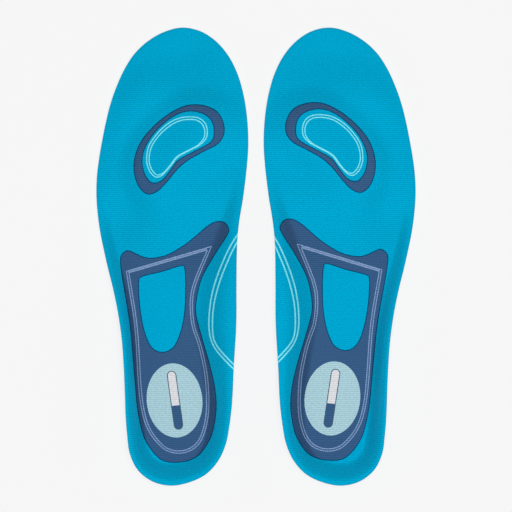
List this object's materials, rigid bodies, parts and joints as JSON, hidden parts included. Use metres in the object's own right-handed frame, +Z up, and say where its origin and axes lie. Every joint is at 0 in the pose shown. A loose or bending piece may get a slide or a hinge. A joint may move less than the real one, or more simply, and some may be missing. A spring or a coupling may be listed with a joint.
{
  "type": "insole",
  "caption": "Pair of cushioned shoe insoles with a knit cover, soft foam, heel cup, arch support and gel pads, each bending at the ball of the foot.",
  "frame": {"origin": "on the ground, halfway between the two insoles and halfway along them", "axes": "+X towards the right insole, +Y towards the toes, +Z up"},
  "size_m": [0.1954, 0.2798, 0.0173],
  "materials": {
    "knit": "fine ribbed polyester knit, cyan with navy and pale prints",
    "foam": "open-cell comfort foam, pale",
    "cradle_eva": "moulded closed-cell foam, matt",
    "forefoot_eva": "die-cut closed-cell foam, matt",
    "plate": "moulded flexible plastic, satin",
    "heel_gel": "soft gel, satin",
    "ball_gel": "soft gel, satin",
    "arch_foam": "closed-cell foam, matt"
  },
  "bodies": {
    "left_rearfoot": {"left_top_cover": "knit", "left_comfort_foam": "foam", "left_heel_cradle": "cradle_eva", "left_stabiliser": "plate", "left_heel_pad": "heel_gel", "left_arch_pad": "arch_foam"},
    "left_forefoot": {"left_forefoot_base": "forefoot_eva", "left_forefoot_pad": "ball_gel"},
    "right_rearfoot": {"right_top_cover": "knit", "right_comfort_foam": "foam", "right_heel_cradle": "cradle_eva", "right_stabiliser": "plate", "right_heel_pad": "heel_gel", "right_arch_pad": "arch_foam"},
    "right_forefoot": {"right_forefoot_base": "forefoot_eva", "right_forefoot_pad": "ball_gel"}
  },
  "joints": [
    {"name": "left_toe_flex", "type": "hinge", "parent": "left_rearfoot", "child": "left_forefoot", "pos_m": [-0.0498, 0.02956, 0.0046], "axis": [0.9049, 0.4257, 0], "range_deg": [0, 50], "stiffness_Nm_per_rad": 0.08, "deforming": ["left_top_cover", "left_comfort_foam"]},
    {"name": "right_toe_flex", "type": "hinge", "parent": "right_rearfoot", "child": "right_forefoot", "pos_m": [0.0498, 0.02956, 0.0046], "axis": [0.9049, -0.4257, 0], "range_deg": [0, 50], "stiffness_Nm_per_rad": 0.08, "deforming": ["right_top_cover", "right_comfort_foam"]},
    {"name": "right_insole_slide", "type": "slide", "parent": "left_rearfoot", "child": "right_rearfoot", "axis": [1, 0, 0], "range_m": [0, 0.1]}
  ]
}
